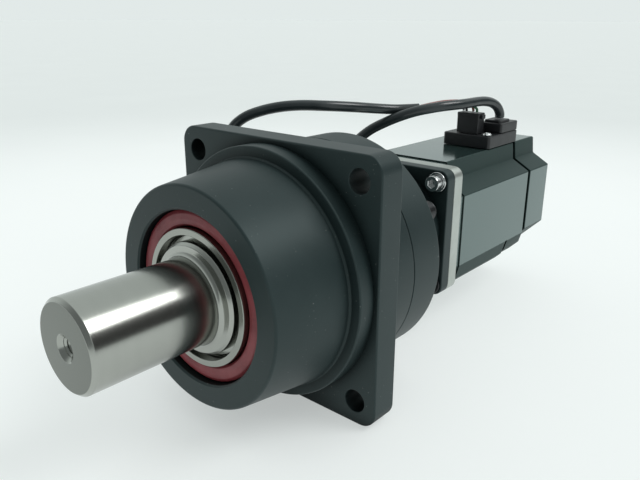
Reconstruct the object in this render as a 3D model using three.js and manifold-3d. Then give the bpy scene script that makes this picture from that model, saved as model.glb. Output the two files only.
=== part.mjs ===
// Inline planetary gear reducer with its servo motor, in millimetres, +Z up.
// The shaft axis runs along Y at AXIS_HEIGHT and the output shaft points along -Y.
// A station is a distance along that axis, measured backwards from the mounting flange's front face.
import * as THREE from 'three';
import { mergeVertices } from 'three/addons/utils/BufferGeometryUtils.js';
import Module from 'manifold-3d';

const wasm = await Module();
wasm.setup();

// ---- overall layout
const FLANGE_SIZE = 104;
const AXIS_HEIGHT = FLANGE_SIZE / 2;
const SHAFT_END = -88;          // station of the output shaft's end face
const COVER_END = 193;          // station of the motor's rearmost face
const FLANGE_FACE_Y = -(SHAFT_END + COVER_END) / 2;

// ---- gear case
const FLANGE_THICK = 12;
const FLANGE_CORNER_R = 7;
const BOLT_CIRCLE = 120;
const BOLT_HOLE_R = 4.5;
const RIM_R = 50;
const RIM_LENGTH = 7.5;
const NOSE_FRONT = -40;
const NOSE_FRONT_R = 41.6;
const NOSE_BASE_R = 45.4;
const RECESS_R = 32.4;

// ---- output shaft and its bearings
const SHAFT_R = 16;
const SHAFT_TAP_R = 3.4;
const JOURNAL_R = 22.5;
const FRONT_BEARING = { start: -29.5, end: -17.5, bore: 22.5, outer: 34 };
const REAR_BEARING = { start: -5, end: 7, bore: 25, outer: 36 };

// ---- epicyclic gear stage
const MODULE = 1.5;
const SUN_TEETH = 12;
const PLANET_TEETH = 18;
const RING_TEETH = 48;
const PLANET_COUNT = 3;
const PLANET_RADIUS = MODULE * (SUN_TEETH + PLANET_TEETH) / 2;
const FIRST_PLANET_ANGLE = Math.PI / 2;
const BACKLASH = 0.3;           // taken off each tooth and added to each ring space
const PLANET_START = 14.6;
const PLANET_END = 26.4;
const PLANET_BORE_R = 4.62;
const PIN_R = 4.5;

// ---- round housings behind the flange
const HOUSING_R = 48.4;
const RING_START = 12.3;
const RING_END = 28;
const ADAPTER_START = 28.3;
const ADAPTER_SHOULDER = 46.6;
const NECK_R = 27;
const CASE_SCREW_RADIUS = 43;
const CASE_SCREW_ANGLES = [28, 118, 208, 298];

// ---- motor
const PLATE_SIZE = 60;
const PLATE_CORNER_R = 4.5;
const PLATE_START = 81;
const PLATE_END = 87;
const MOTOR_FLANGE_START = 87.3;
const MOTOR_FLANGE_END = 94;
const MOTOR_SCREW_OFFSET = 24.75;
const BODY_START = 94.3;
const BODY_END = 166.5;
const COVER_START = 169;
const MOTOR_HALF = 30;
const TOP_HALF = 19.5;          // half width of the flat top, between the stepped corners
const STEP_TOP = 21.5;          // height where a stepped corner's wall meets its slope
const STEP_SIDE = 16;           // height where the slope meets the motor's side
const MOTOR_BOTTOM = -29.8;
const SLOT_START = 146;         // a narrow slot crosses the lower corners of the motor here
const SLOT_END = 148;

// ---- connectors on the motor's top, x to the right of the axis and z above it
const BASE = { x0: -7, x1: 20, s0: 137, s1: 169.5, z0: MOTOR_HALF + 0.8, z1: 37.1 };
const POWER_PLUG = { x0: -0.6, x1: 12, s0: 139, s1: 146, z0: BASE.z1 + 0.3, z1: 47.9 };
const ENCODER_PLUG = { x0: 6.5, x1: 19.8, s0: 150, s1: 169.3, z0: BASE.z1 + 0.3, z1: 42.2 };

// ---- cables
const CABLE_R = 2.5;
const LEAD_R = 0.65;
const LEAD_OFFSET = 1.16;       // the four leads run as a bundle, each this far off its centre

// ---- number of sides on round pieces, by size
const FINE = 44;
const MEDIUM = 30;
const COARSE = 18;

// ---- paints and metals
const finish = (color, roughness, metalness) => ({ color, roughness, metalness });
const CASE_PAINT = finish(0x3c4244, 0.62, 0.15);
const MOTOR_PAINT = finish(0x474f4e, 0.32, 0.2);
const ALUMINIUM = finish(0xb4b8b6, 0.38, 0.9);
const GROUND_STEEL = finish(0xc2c0bc, 0.22, 1.0);
const GEAR_STEEL = finish(0x8d9092, 0.35, 1.0);
const BEARING_STEEL = finish(0xaeb2b5, 0.2, 1.0);
const BRIGHT_SCREW = finish(0xc9ccce, 0.2, 1.0);
const BLACK_SCREW = finish(0x26282a, 0.4, 0.7);
const SEAL_RUBBER = finish(0x8c2a2e, 0.55, 0.0);
const BLACK_RUBBER = finish(0x121314, 0.5, 0.0);
const BLACK_PLASTIC = finish(0x1d1f20, 0.45, 0.0);
const COPPER = finish(0x9c5a34, 0.4, 0.8);
const CORE_STEEL = finish(0x5a5d60, 0.5, 0.8);
const BOARD_GREEN = finish(0x1f5a34, 0.5, 0.1);

const model = new THREE.Group();

// ---- solids: closed meshes that can be joined and cut
function solid(geometry) {
  const plain = geometry.clone();
  plain.deleteAttribute('normal');
  plain.deleteAttribute('uv');
  const merged = mergeVertices(plain, 1e-4);
  const at = merged.getAttribute('position');
  const triangles = [];
  let volume = 0;
  const a = new THREE.Vector3();
  const b = new THREE.Vector3();
  const c = new THREE.Vector3();
  for (let i = 0; i < merged.index.count; i += 3) {
    const [p, q, r] = [0, 1, 2].map((k) => merged.index.getX(i + k));
    if (p === q || q === r || r === p) continue;
    triangles.push(p, q, r);
    a.fromBufferAttribute(at, p);
    b.fromBufferAttribute(at, q);
    c.fromBufferAttribute(at, r);
    volume += a.dot(b.cross(c));
  }
  if (volume < 0) triangles.reverse();
  return new wasm.Manifold(new wasm.Mesh({
    numProp: 3,
    vertProperties: new Float32Array(at.array),
    triVerts: new Uint32Array(triangles),
  }));
}

function geometryOf(manifold) {
  const mesh = manifold.getMesh();
  const geometry = new THREE.BufferGeometry();
  geometry.setAttribute('position', new THREE.BufferAttribute(new Float32Array(mesh.vertProperties), 3));
  geometry.setIndex(new THREE.BufferAttribute(new Uint32Array(mesh.triVerts), 1));
  geometry.computeVertexNormals();
  return geometry;
}

function add(name, manifold, material) {
  const mesh = new THREE.Mesh(geometryOf(manifold), new THREE.MeshStandardMaterial(material));
  mesh.name = name;
  model.add(mesh);
  return mesh;
}

const join = (...pieces) => pieces.reduce((whole, piece) => whole.add(piece));
const cut = (whole, ...tools) => tools.reduce((rest, tool) => rest.subtract(tool), whole);

// a turned piece about the shaft axis; points are [radius, station], and a ring's outline closes on itself
function turned(points, segments = MEDIUM, x = 0, z = 0) {
  const outline = points.map(([r, s]) => new THREE.Vector2(r, s));
  if (points[0][0] > 0) outline.push(outline[0].clone());
  const geometry = new THREE.LatheGeometry(outline, segments);
  geometry.translate(x, FLANGE_FACE_Y, z + AXIS_HEIGHT);
  return solid(geometry);
}

// a plain rod, and a plain tube, along the shaft axis
const rod = (r, s0, s1, segments = COARSE, x = 0, z = 0) =>
  turned([[0, s0], [r, s0], [r, s1], [0, s1]], segments, x, z);
const ring = (bore, outer, s0, s1, segments = MEDIUM) =>
  turned([[bore, s0], [outer, s0], [outer, s1], [bore, s1]], segments);

// a flat outline in the X-Z plane, measured from the shaft axis, pushed from one station to another
function prism(shape, s0, s1, curveSegments = 5) {
  const geometry = new THREE.ExtrudeGeometry(shape, { depth: s1 - s0, bevelEnabled: false, curveSegments });
  geometry.rotateX(Math.PI / 2);
  geometry.translate(0, FLANGE_FACE_Y + s1, AXIS_HEIGHT);
  return solid(geometry);
}

// a box by its limits: x to the right, stations along the axis, z above the axis
function block({ x0, x1, s0, s1, z0, z1 }) {
  const geometry = new THREE.BoxGeometry(x1 - x0, s1 - s0, z1 - z0);
  geometry.translate((x0 + x1) / 2, FLANGE_FACE_Y + (s0 + s1) / 2, AXIS_HEIGHT + (z0 + z1) / 2);
  return solid(geometry);
}

// a rod standing up (along Z), by its centre and its two heights above the axis
function post(r, x, s, z0, z1, segments = 16) {
  const geometry = new THREE.CylinderGeometry(r, r, z1 - z0, segments);
  geometry.rotateX(Math.PI / 2);
  geometry.translate(x, FLANGE_FACE_Y + s, AXIS_HEIGHT + (z0 + z1) / 2);
  return solid(geometry);
}

function roundedSquare(size, radius) {
  const half = size / 2;
  const shape = new THREE.Shape();
  shape.moveTo(half, -half + radius);
  shape.lineTo(half, half - radius);
  shape.absarc(half - radius, half - radius, radius, 0, Math.PI / 2);
  shape.lineTo(-half + radius, half);
  shape.absarc(-half + radius, half - radius, radius, Math.PI / 2, Math.PI);
  shape.lineTo(-half, -half + radius);
  shape.absarc(-half + radius, -half + radius, radius, Math.PI, 1.5 * Math.PI);
  shape.lineTo(half - radius, -half);
  shape.absarc(half - radius, -half + radius, radius, 1.5 * Math.PI, 2 * Math.PI);
  return shape;
}

const degrees = (angle) => angle * Math.PI / 180;
const polar = (radius, angle) => [radius * Math.cos(angle), radius * Math.sin(angle)];
const corners = [[1, 1], [-1, 1], [-1, -1], [1, -1]];

// ---- gear case: nose, rim and square flange in one casting
const boltOffset = BOLT_CIRCLE / 2 / Math.SQRT2;
const noseOutside = turned([
  [0, NOSE_FRONT], [NOSE_FRONT_R - 1, NOSE_FRONT], [NOSE_FRONT_R, NOSE_FRONT + 1],
  [NOSE_BASE_R, -RIM_LENGTH], [RIM_R - 0.8, -RIM_LENGTH], [RIM_R, -RIM_LENGTH + 0.8], [RIM_R, 1], [0, 1],
], FINE);
const caseBore = turned([
  [0, NOSE_FRONT - 1], [RECESS_R + 1, NOSE_FRONT - 1], [RECESS_R + 1, NOSE_FRONT], [RECESS_R, NOSE_FRONT + 0.8],
  [RECESS_R, -31.4], [30, -31.4], [30, FRONT_BEARING.start - 0.3],
  [FRONT_BEARING.outer + 0.2, FRONT_BEARING.start - 0.3], [FRONT_BEARING.outer + 0.2, REAR_BEARING.start - 0.3],
  [REAR_BEARING.outer + 0.2, REAR_BEARING.start - 0.3], [REAR_BEARING.outer + 0.2, FLANGE_THICK + 1],
  [0, FLANGE_THICK + 1],
], MEDIUM);
const flangeHoles = corners.map(([sx, sz]) =>
  rod(BOLT_HOLE_R, -1, FLANGE_THICK + 1, 20, sx * boltOffset, sz * boltOffset));
const caseTaps = CASE_SCREW_ANGLES.map((angle) =>
  rod(2.8, 2.6, FLANGE_THICK + 1, 8, ...polar(CASE_SCREW_RADIUS, degrees(angle))));
add('gear_case', cut(
  join(noseOutside, prism(roundedSquare(FLANGE_SIZE, FLANGE_CORNER_R), 0, FLANGE_THICK)),
  caseBore, ...flangeHoles, ...caseTaps,
), CASE_PAINT);

// ---- red shaft seal: an outer band with a step down to its lip
add('oil_seal', turned([
  [26.1, -36.4], [26.9, -37.5], [28.6, -37.8], [30.6, -37.6], [32, -36.8], [32, -31.8], [26.1, -31.8],
], MEDIUM), SEAL_RUBBER);

// ---- output shaft and front planet disc in one piece, with pin holes
const pinAngles = Array.from({ length: PLANET_COUNT },
  (_, k) => FIRST_PLANET_ANGLE + k * 2 * Math.PI / PLANET_COUNT);
const pinHoles = (r, s0, s1) => pinAngles.map((angle) => rod(r, s0, s1, 18, ...polar(PLANET_RADIUS, angle)));
const SHOULDER_R = 20.9;
const shaftBlank = turned([
  [0, SHAFT_END], [SHAFT_R - 1.2, SHAFT_END], [SHAFT_R, SHAFT_END + 1.2], [SHAFT_R, -43.4],
  [SHAFT_R + 1, -41.4], [SHAFT_R + 3.3, -40.4], [SHAFT_R + 4.1, -40], [SHOULDER_R, -39], [SHOULDER_R, -34.6],
  [JOURNAL_R - 0.1, -34.6], [JOURNAL_R - 0.1, FRONT_BEARING.end + 0.5],
  [REAR_BEARING.bore - 0.1, FRONT_BEARING.end + 0.5], [REAR_BEARING.bore - 0.1, 9.2], [33, 9.2], [33, 13.6],
  [0, 13.6],
], FINE);
const shaftTap = turned([
  [0, SHAFT_END - 1], [SHAFT_TAP_R + 2.3, SHAFT_END - 1], [SHAFT_TAP_R + 1.3, SHAFT_END],
  [SHAFT_TAP_R, SHAFT_END + 1.4], [SHAFT_TAP_R, SHAFT_END + 18], [0, SHAFT_END + 20],
], 24);
add('output_shaft', cut(shaftBlank, shaftTap, ...pinHoles(PIN_R + 0.3, 8, 14)), GROUND_STEEL);

// ---- steel sleeve that the seal's lip runs on
add('seal_sleeve', turned([
  [23.2, -39], [25.4, -39], [25.7, -38.7], [25.7, -30.2], [JOURNAL_R + 0.3, -30.2], [JOURNAL_R + 0.3, -34.2],
  [23.2, -34.6],
], MEDIUM), BEARING_STEEL);

// ---- output bearings: two races each, and a caged set of tapered rollers between them
function bearing(prefix, { start, end, bore, outer }, rollers) {
  const middle = (bore + outer) / 2;
  const length = end - start;
  add(`${prefix}_outer_race`, turned([
    [middle + 2.6, start], [outer, start], [outer, end], [middle + 2.6, end], [middle + 2.1, start + length / 2],
  ], MEDIUM), BEARING_STEEL);
  add(`${prefix}_inner_race`, turned([
    [bore + 0.3, start], [middle - 2.6, start], [middle - 2.1, start + length / 2], [middle - 2.6, end],
    [bore + 0.3, end],
  ], MEDIUM), BEARING_STEEL);
  const cage = ring(middle - 1, middle + 1, start + 1, end - 1);
  const roller = Array.from({ length: rollers }, (_, k) =>
    rod(1.75, start + 1.6, end - 1.6, 5, ...polar(middle, 2 * Math.PI * k / rollers)));
  add(`${prefix}_rollers`, join(cage, ...roller), GEAR_STEEL);
}
bearing('front_bearing', FRONT_BEARING, 10);
bearing('rear_bearing', REAR_BEARING, 10);

// ---- gear outlines: involute flanks at 20 degrees
const PRESSURE = degrees(20);
const involute = (angle) => Math.tan(angle) - angle;

// half the angle that a tooth (or, in a ring, a space) takes up at a given radius
function halfAngle(teeth, radius, extra) {
  const pitch = MODULE * teeth / 2;
  const base = pitch * Math.cos(PRESSURE);
  const atPitch = Math.PI / 2 / teeth + extra / 2 / pitch;
  const here = radius > base ? involute(Math.acos(base / radius)) : 0;
  return atPitch + involute(PRESSURE) - here;
}

function toothPoints(teeth, inner, outer, extra, innerNarrowing, phase) {
  const base = MODULE * teeth / 2 * Math.cos(PRESSURE);
  const start = Math.max(inner, base);
  const flank = [0, 0.5, 1].map((t) => start + (outer - start) * t);
  const side = flank.map((r) => [r, halfAngle(teeth, r, extra)]);
  if (inner < base) side.unshift([inner, halfAngle(teeth, base, extra) * innerNarrowing]);
  const points = [];
  for (let k = 0; k < teeth; k += 1) {
    const centre = phase + 2 * Math.PI * k / teeth;
    side.forEach(([r, half]) => points.push(polar(r, centre - half)));
    [...side].reverse().forEach(([r, half]) => points.push(polar(r, centre + half)));
  }
  return points.map(([x, y]) => new THREE.Vector2(x, y));
}

const circleHole = (x, y, r) => new THREE.Path().absarc(x, y, r, 0, 2 * Math.PI, true);

function externalGear(teeth, phase, tipAddendum) {
  const pitch = MODULE * teeth / 2;
  const outline = toothPoints(teeth, pitch - 1.25 * MODULE, pitch + tipAddendum * MODULE, -BACKLASH, 0.82, phase);
  return new THREE.Shape(outline);
}

// ---- ring gear: teeth inside, case screw holes outside
const ringPitch = MODULE * RING_TEETH / 2;
const ringShape = new THREE.Shape().absarc(0, 0, HOUSING_R, 0, 2 * Math.PI, false);
ringShape.holes.push(new THREE.Path(
  toothPoints(RING_TEETH, ringPitch - 0.85 * MODULE, ringPitch + 1.3 * MODULE, BACKLASH, 1, 0).reverse()));
const screwAt = CASE_SCREW_ANGLES.map((angle) => polar(CASE_SCREW_RADIUS, degrees(angle)));
add('ring_gear', cut(
  prism(ringShape, RING_START, RING_END, FINE / 2),
  ...screwAt.map(([x, z]) => rod(2.8, RING_START - 1, RING_END + 1, 8, x, z)),
), CASE_PAINT);

// ---- planets on their pins
pinAngles.forEach((angle, k) => {
  const [x, z] = polar(PLANET_RADIUS, angle);
  const gear = prism(externalGear(PLANET_TEETH, angle, 0.95), PLANET_START, PLANET_END);
  add(`planet_gear_${k + 1}`, cut(gear, rod(PLANET_BORE_R, PLANET_START - 1, PLANET_END + 1, COARSE)).translate([x, 0, z]),
    GEAR_STEEL);
});

// ---- rear planet plate with the three planet pins
add('carrier_plate', join(
  ring(9.5, 32, 27.2, 31.2), ...pinHoles(PIN_R, 9.6, 28),
), GEAR_STEEL);

// ---- sun gear with its shaft and the slotted clamp hub that grips the motor shaft
const sunPhase = Math.PI / SUN_TEETH;
const sunTeeth = prism(externalGear(SUN_TEETH, sunPhase, 0.95), 14.4, 26.6);
const hub = turned([
  [0, 26], [6.8, 26], [6.8, 34.4], [11, 34.4], [12.3, 35.6], [12.3, 43.6], [14, 43.6], [17.4, 47.6], [17.4, 66],
  [7.3, 66], [7.3, 50], [0, 50],
], MEDIUM);
const hubSlot = block({ x0: -0.8, x1: 0.8, s0: 52, s1: 67, z0: 0, z1: 20 });
const hubScrewHole = (r, x0, x1) => {
  const geometry = new THREE.CylinderGeometry(r, r, x1 - x0, 12);
  geometry.rotateZ(Math.PI / 2);
  geometry.translate((x0 + x1) / 2, FLANGE_FACE_Y + 59, AXIS_HEIGHT + 11.6);
  return solid(geometry);
};
add('sun_gear_hub', cut(join(sunTeeth, hub), hubSlot, hubScrewHole(2.4, -20, 20), hubScrewHole(3.9, 6, 20)), GEAR_STEEL);
add('clamp_screw', cut(
  join(hubScrewHole(2.1, -9, 7), hubScrewHole(3.5, 6.4, 11)), hubScrewHole(1.6, 9, 12)), BLACK_SCREW);
add('input_bearing', turned([
  [12.6, 36], [18.3, 36], [18.3, 43], [12.6, 43],
], MEDIUM), BEARING_STEEL);

// ---- adapter housing: round disc, neck with an access hole, and the square end plate
const adapterOutside = join(
  turned([
    [0, ADAPTER_START], [HOUSING_R, ADAPTER_START], [HOUSING_R, ADAPTER_SHOULDER - 1.2],
    [HOUSING_R - 1.2, ADAPTER_SHOULDER], [NECK_R + 3, ADAPTER_SHOULDER], [NECK_R, ADAPTER_SHOULDER + 3],
    [NECK_R, PLATE_START + 1], [0, PLATE_START + 1],
  ], FINE),
  prism(roundedSquare(PLATE_SIZE, PLATE_CORNER_R), PLATE_START, PLATE_END),
);
const adapterBore = turned([
  [0, ADAPTER_START - 1], [35.4, ADAPTER_START - 1], [35.4, 33], [15, 33], [15, 35.6], [18.6, 35.6], [18.6, 43.4],
  [21, 45.4], [21, 83.4], [25.4, 83.4], [25.4, PLATE_END + 1], [0, PLATE_END + 1],
], MEDIUM);
const accessHole = post(5.2, 0, 59, 10, 40, 16);
add('adapter_housing', cut(
  adapterOutside, adapterBore, accessHole,
  ...screwAt.map(([x, z]) => rod(2.8, ADAPTER_START - 1, ADAPTER_SHOULDER + 1, 8, x, z)),
  ...corners.map(([sx, sz]) =>
    rod(2.4, PLATE_START - 1, PLATE_END + 1, 8, sx * MOTOR_SCREW_OFFSET, sz * MOTOR_SCREW_OFFSET)),
), CASE_PAINT);
add('access_plug', join(post(4.9, 0, 59, 22, 27.6), post(6.2, 0, 59, 27.4, 28.6)), BLACK_RUBBER);

// ---- socket head screws along the axis: head in front of or behind the thread, hexagon socket in the head
function socketScrew({ x, z, headStart, headEnd, tip, headR, threadR, socketR, socketDepth }) {
  const forward = headStart < tip;
  const thread = forward ? rod(threadR, headStart + 1, tip, 8, x, z) : rod(threadR, tip, headEnd - 1, 8, x, z);
  const socket = forward
    ? rod(socketR, headStart - 1, headStart + socketDepth, 6, x, z)
    : rod(socketR, headEnd - socketDepth, headEnd + 1, 6, x, z);
  return cut(join(rod(headR, headStart, headEnd, 16, x, z), thread), socket);
}
screwAt.forEach(([x, z], k) => {
  add(`case_screw_${k + 1}`, socketScrew({
    x, z, headStart: ADAPTER_SHOULDER + 0.3, headEnd: ADAPTER_SHOULDER + 5.3, tip: 3.6,
    headR: 4.25, threadR: 2.5, socketR: 2.2, socketDepth: 2.5,
  }), BLACK_SCREW);
});
corners.forEach(([sx, sz], k) => {
  const x = sx * MOTOR_SCREW_OFFSET;
  const z = sz * MOTOR_SCREW_OFFSET;
  const look = sz > 0 ? BRIGHT_SCREW : BLACK_SCREW;
  add(`motor_screw_${k + 1}`, socketScrew({
    x, z, headStart: PLATE_START - 5.6, headEnd: PLATE_START - 1.6, tip: MOTOR_FLANGE_END - 0.6,
    headR: 3.5, threadR: 2, socketR: 1.8, socketDepth: 2.2,
  }), look);
  add(`motor_washer_${k + 1}`, cut(
    rod(4.5, PLATE_START - 1.3, PLATE_START - 0.3, 16, x, z), rod(2.4, PLATE_START - 3, PLATE_START, 8, x, z),
  ), look);
});

// ---- motor flange plate with its pilot and bearing seat
add('motor_flange', cut(
  join(
    prism(roundedSquare(PLATE_SIZE, PLATE_CORNER_R), MOTOR_FLANGE_START, MOTOR_FLANGE_END),
    rod(25, 84.4, MOTOR_FLANGE_START + 1, MEDIUM),
  ),
  turned([[0, 83], [9, 83], [9, 86], [16.2, 86], [16.2, MOTOR_FLANGE_END + 1], [0, MOTOR_FLANGE_END + 1]], COARSE + 8),
  ...corners.map(([sx, sz]) =>
    rod(2.4, MOTOR_FLANGE_START - 1, MOTOR_FLANGE_END + 1, 8, sx * MOTOR_SCREW_OFFSET, sz * MOTOR_SCREW_OFFSET)),
), ALUMINIUM);

// ---- motor housing: flat top between stepped corners, and lower corners that differ along its length
const LOWER_CORNER = {
  front: [[30, -19], [28, -26.4], [24.6, MOTOR_BOTTOM]],
  rear: [[30, -19], [28.6, -24.4], [23.2, MOTOR_BOTTOM]],
  cover: [[30, -17.6], [17.8, MOTOR_BOTTOM]],
};
function motorOutline(inset, lowerCorner) {
  const side = MOTOR_HALF - inset;
  const wall = TOP_HALF - inset;
  const lower = LOWER_CORNER[lowerCorner].map(([x, z], k, all) =>
    (k === all.length - 1 ? [x - 0.41 * inset, z + inset] : [x - inset, z + 0.41 * inset]));
  const right = [
    [wall, MOTOR_HALF + 0.5 - inset], [wall + 1, STEP_TOP - inset / 2], [side, STEP_SIDE - inset / 2], ...lower];
  const points = [...right, ...[...right].reverse().map(([x, z]) => [-x, z])];
  return new THREE.Shape(points.reverse().map(([x, z]) => new THREE.Vector2(x, z)));
}
const cornerSlot = (side) => new THREE.Shape([
  [31.5, -18.8], [27, -18.8], [25.2, -25.2], [21.8, -28.6], [21.8, -31.5], [31.5, -31.5],
].map(([x, z]) => new THREE.Vector2(x * side, z)));
const boardPosts = [90, 210, 330].map((angle) => polar(18.6, degrees(angle)));
add('motor_housing', cut(
  join(
    prism(motorOutline(0.6, 'front'), BODY_START, BODY_START + 3),
    prism(motorOutline(0, 'front'), BODY_START + 2.5, SLOT_END),
    prism(motorOutline(0, 'rear'), SLOT_START, BODY_END),
    ...boardPosts.map(([x, z]) => rod(2.4, BODY_END - 1, 174.6, 8, x, z)),
  ),
  turned([
    [0, BODY_START - 1], [25.6, BODY_START - 1], [25.6, 155], [13.3, 155], [13.3, 163.4], [9, 163.4],
    [9, BODY_END + 1], [0, BODY_END + 1],
  ], MEDIUM),
  ...[1, -1].map((side) => prism(cornerSlot(side), SLOT_START, SLOT_END)),
), MOTOR_PAINT);

// ---- stator, its winding, and the rotor on the motor shaft
const SLOTS = 9;
const slotAngles = Array.from({ length: SLOTS }, (_, k) => 2 * Math.PI * (k + 0.5) / SLOTS);
function barAt(angle, r0, r1, halfWidth, s0, s1) {
  const [cos, sin] = [Math.cos(angle), Math.sin(angle)];
  const shape = new THREE.Shape([[r0, -halfWidth], [r1, -halfWidth], [r1, halfWidth], [r0, halfWidth]].map(
    ([r, t]) => new THREE.Vector2(r * cos - t * sin, r * sin + t * cos)));
  return prism(shape, s0, s1);
}
add('stator_core', cut(
  ring(14.6, 25.3, 104, 146), ...slotAngles.map((angle) => barAt(angle, 14, 22.4, 3, 103, 147)),
), CORE_STEEL);
add('stator_winding', join(
  ring(16.6, 22, 97.5, 102, COARSE), ring(16.6, 22, 148, 152.5, COARSE),
  ...slotAngles.map((angle) => barAt(angle, 16.8, 21.8, 2.5, 101, 149)),
), COPPER);
add('motor_shaft', turned([
  [0, 51.4], [6.4, 51.4], [7, 52], [7, 85], [7.5, 86], [7.5, 96], [10.9, 96.4], [10.9, 152], [5, 152.4],
  [5, 171.4], [0, 171.4],
], COARSE), GROUND_STEEL);
add('rotor_magnet', ring(11.2, 13.9, 105, 145, COARSE + 4), CORE_STEEL);
add('motor_front_bearing', turned([
  [7.8, 86.5], [15.8, 86.5], [15.8, 95.2], [7.8, 95.2]], COARSE), BEARING_STEEL);
add('motor_rear_bearing', turned([
  [5.3, 155.4], [12.9, 155.4], [12.9, 163.1], [5.3, 163.1]], COARSE), BEARING_STEEL);

// ---- rear cover, the gasket in its seam, and the encoder inside
add('cover_gasket', cut(
  prism(motorOutline(2, 'cover'), BODY_END + 0.3, COVER_START - 0.3),
  prism(motorOutline(4, 'cover'), BODY_END - 1, COVER_START + 1),
), BLACK_RUBBER);
const COVER_SCREWS = [[-15, 17], [15, -17]];
add('encoder_cover', cut(
  prism(motorOutline(0, 'cover'), COVER_START, COVER_END),
  prism(motorOutline(2.6, 'cover'), COVER_START - 1, COVER_END - 3),
  ...COVER_SCREWS.map(([x, z]) => rod(1.8, COVER_END - 4, COVER_END + 1, 10, x, z)),
), MOTOR_PAINT);
COVER_SCREWS.forEach(([x, z], k) => {
  add(`cover_screw_${k + 1}`, socketScrew({
    x, z, headStart: COVER_END + 0.3, headEnd: COVER_END + 2, tip: COVER_END - 7,
    headR: 2.9, threadR: 1.5, socketR: 1.3, socketDepth: 1.1,
  }), BLACK_SCREW);
});
add('encoder_disc', turned([
  [0, 171.7], [15.4, 171.7], [15.4, 172.7], [6, 172.7], [6, 173.9], [0, 173.9]], COARSE), ALUMINIUM);
add('encoder_board', cut(
  join(ring(9, 21.5, 174.9, 176.5, COARSE), block({ x0: -5, x1: 5, s0: 173.6, s1: 175.2, z0: 10, z1: 15 })),
), BOARD_GREEN);

// ---- connector base and the two plugs on the motor's top
add('connector_base', block(BASE), BLACK_PLASTIC);
add('power_plug', join(
  block(POWER_PLUG),
  block({ x0: 11, x1: 13.2, s0: 141, s1: 144.5, z0: 45.2, z1: 47.2 }),
), BLACK_PLASTIC);
add('encoder_plug', join(
  block(ENCODER_PLUG), block({ x0: 8.5, x1: 17.8, s0: 152, s1: 163.6, z0: 41, z1: 43.6 }),
), BLACK_PLASTIC);
const baseScrew = (x, s) => cut(
  post(2.3, x, s, BASE.z1 + 0.3, BASE.z1 + 1.4, 16), post(1.1, x, s, BASE.z1 + 0.8, BASE.z1 + 3, 6));
add('base_screw_1', baseScrew(16.6, 140.6), BRIGHT_SCREW);
add('base_screw_2', baseScrew(-3.4, 165.4), BRIGHT_SCREW);

// ---- cables: centrelines by points [x, station, height above the axis]; they hang down and lie on the table
function along(points, r, sides, steps) {
  const path = new THREE.CatmullRomCurve3(points.map(([x, s, z]) =>
    new THREE.Vector3(x, FLANGE_FACE_Y + s, AXIS_HEIGHT + z)), false, 'centripetal');
  const section = new THREE.Shape(Array.from({ length: sides }, (_, k) =>
    new THREE.Vector2(...polar(r, 2 * Math.PI * k / sides))));
  return solid(new THREE.ExtrudeGeometry(section, { steps, extrudePath: path, bevelEnabled: false }));
}

const ENCODER_ROUTE = [
  [13.3, 160.1, 44.2], [13.3, 159.8, 46.2], [13, 157, 49.7], [12.4, 152.4, 52.2], [11.7, 146.3, 53.6],
  [10.8, 139.4, 54], [10.1, 132.2, 53.9], [8, 122.9, 53.7], [4.8, 115, 53.4], [0.6, 108.7, 52.5],
  [-4.2, 103.4, 51.1], [-9.6, 99.2, 48.8], [-16.1, 96.4, 45.6], [-24.6, 94.2, 40.6], [-33, 93, 33],
  [-39.4, 93, 23], [-42.8, 93.6, 11], [-44.3, 94.3, -2], [-45, 95, -16], [-45.6, 96.6, -28], [-46.6, 100.4, -39],
  [-47.8, 108, -46.4], [-48.6, 118, -49.1], [-49, 130, -49.4], [-49, 141, -48.9], [-49, 148, -48.1],
  [-49, 152, -47.9],
];
const POWER_ROUTE = [
  [-6.7, 111.2, 51.7], [-10.4, 107, 51.5], [-14.2, 101.8, 51.5], [-18, 93.6, 52.3], [-22.8, 78, 54.2],
  [-30, 64, 55.5], [-37, 57.5, 55.7], [-44, 51.4, 55], [-51, 45.4, 53.1], [-57.5, 40.6, 50], [-63, 37.8, 45],
  [-66.6, 36.4, 37], [-68, 36, 26], [-68.3, 36, 12], [-68.3, 36.3, -3], [-68.3, 37, -18], [-68.1, 39.4, -31],
  [-67.6, 45, -42], [-67, 54, -48], [-66.4, 65, -49.4], [-66, 76, -48.7], [-66, 83.6, -47.4], [-66, 88, -47.15],
];
add('encoder_cable', along(ENCODER_ROUTE, CABLE_R, 8, 50), BLACK_RUBBER);
add('power_cable', along(POWER_ROUTE, CABLE_R, 8, 46), BLACK_RUBBER);

// the leads' bundle, from beside the plug to just short of the power cable's sheath
const BUNDLE = [[2.1, 136.8, 52.7], [0.7, 131.2, 53.2], [-1.4, 124, 53.2], [-3.6, 117, 52.6], [-6, 112.1, 51.8]];
const LEADS = [
  { name: 'lead_white', x: 0.8, side: [-1, 0], color: 0xb4b4b8 },
  { name: 'lead_black', x: 3.4, side: [0, -1], color: 0x141414 },
  { name: 'lead_red', x: 6.4, side: [0, 1], color: 0x8e2a22 },
  { name: 'lead_green', x: 9.4, side: [1.1, -0.2], color: 0x2c6a3c },
];
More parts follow.
